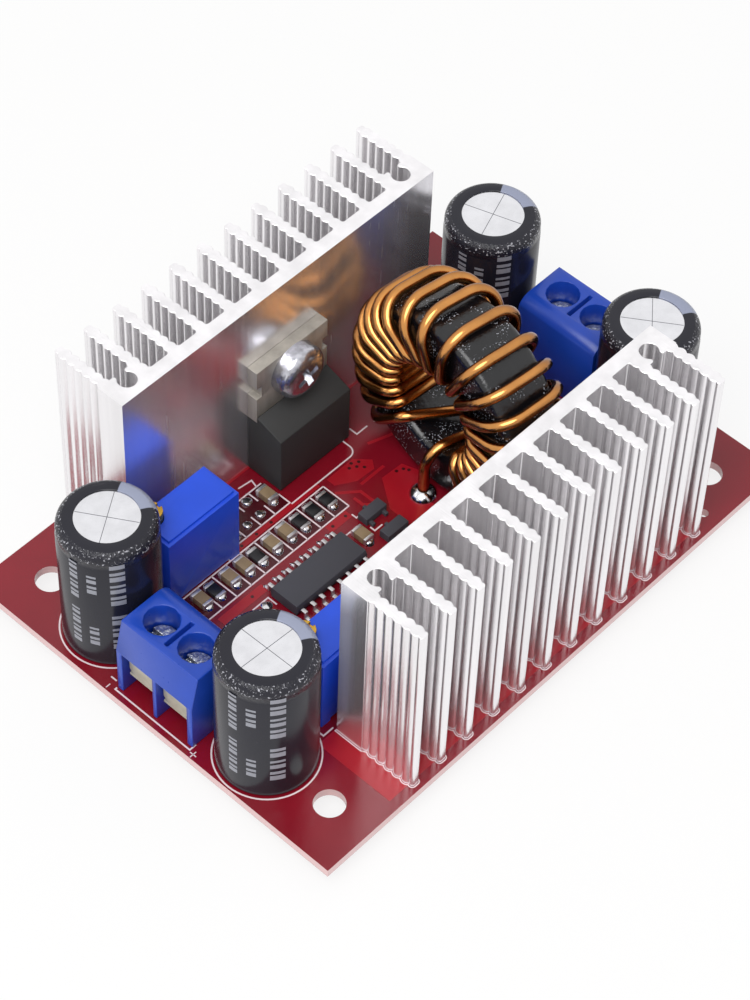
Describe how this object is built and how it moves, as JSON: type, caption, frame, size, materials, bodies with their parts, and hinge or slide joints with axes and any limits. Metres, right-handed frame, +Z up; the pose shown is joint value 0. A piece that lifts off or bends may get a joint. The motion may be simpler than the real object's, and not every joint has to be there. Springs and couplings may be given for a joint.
{
  "type": "boost converter module",
  "caption": "Step-up voltage converter board with finned heatsinks, a ring inductor, electrolytic capacitors, screw terminals and trimmers.",
  "frame": {"origin": "centre of the four mounting holes on the board's underside", "axes": "+X along the board's long edge from the output terminal to the input terminal, +Z up out of the component side"},
  "size_m": [0.067, 0.0487, 0.0266],
  "materials": {
    "red_solder_mask": "glossy red solder mask on glass fibre",
    "extruded_aluminium": "extruded, sawn ends, brushed back",
    "zinc_steel": "zinc plated",
    "core_coating": "glossy black coating on pressed iron powder",
    "enamelled_copper": "clear amber enamel on copper",
    "can_aluminium": "bright drawn, scored top",
    "black_sleeve": "glossy shrink sleeve with a grey stripe",
    "black_rubber": "matte",
    "blue_housing": "satin moulded",
    "tinned_brass": "tin plated",
    "nickel_plate": "plated sheet",
    "blue_trimmer": "satin moulded",
    "brass_screw": "turned",
    "tinned_tab": "tin plated copper",
    "black_moulding": "matte moulding",
    "grey_moulding": "matte moulding",
    "nickel_screw": "nickel plated",
    "tan_ceramic": "fired ceramic",
    "black_film": "glazed film on ceramic",
    "solder": "bright solder",
    "tinned_lead": "tinned"
  },
  "bodies": {
    "board_assembly": {"board": "red_solder_mask", "capacitor_1_bung": "black_rubber", "capacitor_1_can": "can_aluminium", "capacitor_1_leads": "tinned_lead", "capacitor_1_sleeve": "black_sleeve", "capacitor_2_bung": "black_rubber", "capacitor_2_can": "can_aluminium", "capacitor_2_leads": "tinned_lead", "capacitor_2_sleeve": "black_sleeve", "capacitor_3_bung": "black_rubber", "capacitor_3_can": "can_aluminium", "capacitor_3_leads": "tinned_lead", "capacitor_3_sleeve": "black_sleeve", "capacitor_4_bung": "black_rubber", "capacitor_4_can": "can_aluminium", "capacitor_4_leads": "tinned_lead", "capacitor_4_sleeve": "black_sleeve", "chip_capacitors": "tan_ceramic", "chip_ends": "tinned_lead", "chip_resistors": "black_film", "controller_body": "grey_moulding", "controller_leads": "tinned_lead", "heatsink_front": "extruded_aluminium", "heatsink_rear": "extruded_aluminium", "heatsink_screws": "zinc_steel", "inductor_core": "core_coating", "inductor_winding": "enamelled_copper", "input_1_contact": "tinned_brass", "input_2_contact": "tinned_brass", "input_terminal_housing": "blue_housing", "output_1_contact": "tinned_brass", "output_2_contact": "tinned_brass", "output_terminal_housing": "blue_housing", "rectifier_body": "black_moulding", "rectifier_leads": "tinned_lead", "rectifier_screw": "nickel_screw", "rectifier_tab": "tinned_tab", "small_transistors": "grey_moulding", "solder_joints": "solder", "transistor_body": "black_moulding", "transistor_leads": "tinned_lead", "transistor_screw": "nickel_screw", "transistor_tab": "tinned_tab", "trimmer_front_case": "blue_trimmer", "trimmer_front_pins": "tinned_lead", "trimmer_rear_case": "blue_trimmer", "trimmer_rear_pins": "tinned_lead"},
    "output_1_guard": {"output_1_guard": "nickel_plate"},
    "output_1_screw": {"output_1_screw": "nickel_screw"},
    "output_2_guard": {"output_2_guard": "nickel_plate"},
    "output_2_screw": {"output_2_screw": "nickel_screw"},
    "input_1_guard": {"input_1_guard": "nickel_plate"},
    "input_1_screw": {"input_1_screw": "nickel_screw"},
    "input_2_guard": {"input_2_guard": "nickel_plate"},
    "input_2_screw": {"input_2_screw": "nickel_screw"},
    "trimmer_front_screw": {"trimmer_front_screw": "brass_screw"},
    "trimmer_rear_screw": {"trimmer_rear_screw": "brass_screw"}
  },
  "joints": [
    {"name": "output_1_guard_slide", "type": "slide", "parent": "board_assembly", "child": "output_1_guard", "axis": [0, 0, 1], "range_m": [-0.0015, 0]},
    {"name": "output_1_screw_turn", "type": "hinge", "parent": "output_1_guard", "child": "output_1_screw", "pos_m": [-0.02896, -0.00255, 0.0071], "axis": [0, 0, 1], "range_deg": [-1080, 0]},
    {"name": "output_2_guard_slide", "type": "slide", "parent": "board_assembly", "child": "output_2_guard", "axis": [0, 0, 1], "range_m": [-0.0015, 0]},
    {"name": "output_2_screw_turn", "type": "hinge", "parent": "output_2_guard", "child": "output_2_screw", "pos_m": [-0.02896, 0.00205, 0.0071], "axis": [0, 0, 1], "range_deg": [-1080, 0]},
    {"name": "input_1_guard_slide", "type": "slide", "parent": "board_assembly", "child": "input_1_guard", "axis": [0, 0, 1], "range_m": [-0.0015, 0]},
    {"name": "input_1_screw_turn", "type": "hinge", "parent": "input_1_guard", "child": "input_1_screw", "pos_m": [0.02896, 0.0023, 0.0071], "axis": [0, 0, 1], "range_deg": [-1080, 0]},
    {"name": "input_2_guard_slide", "type": "slide", "parent": "board_assembly", "child": "input_2_guard", "axis": [0, 0, 1], "range_m": [-0.0015, 0]},
    {"name": "input_2_screw_turn", "type": "hinge", "parent": "input_2_guard", "child": "input_2_screw", "pos_m": [0.02896, -0.0023, 0.0071], "axis": [0, 0, 1], "range_deg": [-1080, 0]},
    {"name": "trimmer_front_turn", "type": "hinge", "parent": "board_assembly", "child": "trimmer_front_screw", "pos_m": [-0.02101, -0.00894, 0.0115], "axis": [0, 0, 1], "continuous": true},
    {"name": "trimmer_rear_turn", "type": "hinge", "parent": "board_assembly", "child": "trimmer_rear_screw", "pos_m": [-0.02101, 0.01146, 0.0115], "axis": [0, 0, 1], "continuous": true}
  ],
  "couplings": [
    {"joint": "output_1_screw_turn", "follows": "output_1_guard_slide", "rad_per_m": 12566},
    {"joint": "output_2_screw_turn", "follows": "output_2_guard_slide", "rad_per_m": 12566},
    {"joint": "input_1_screw_turn", "follows": "input_1_guard_slide", "rad_per_m": 12566},
    {"joint": "input_2_screw_turn", "follows": "input_2_guard_slide", "rad_per_m": 12566}
  ]
}
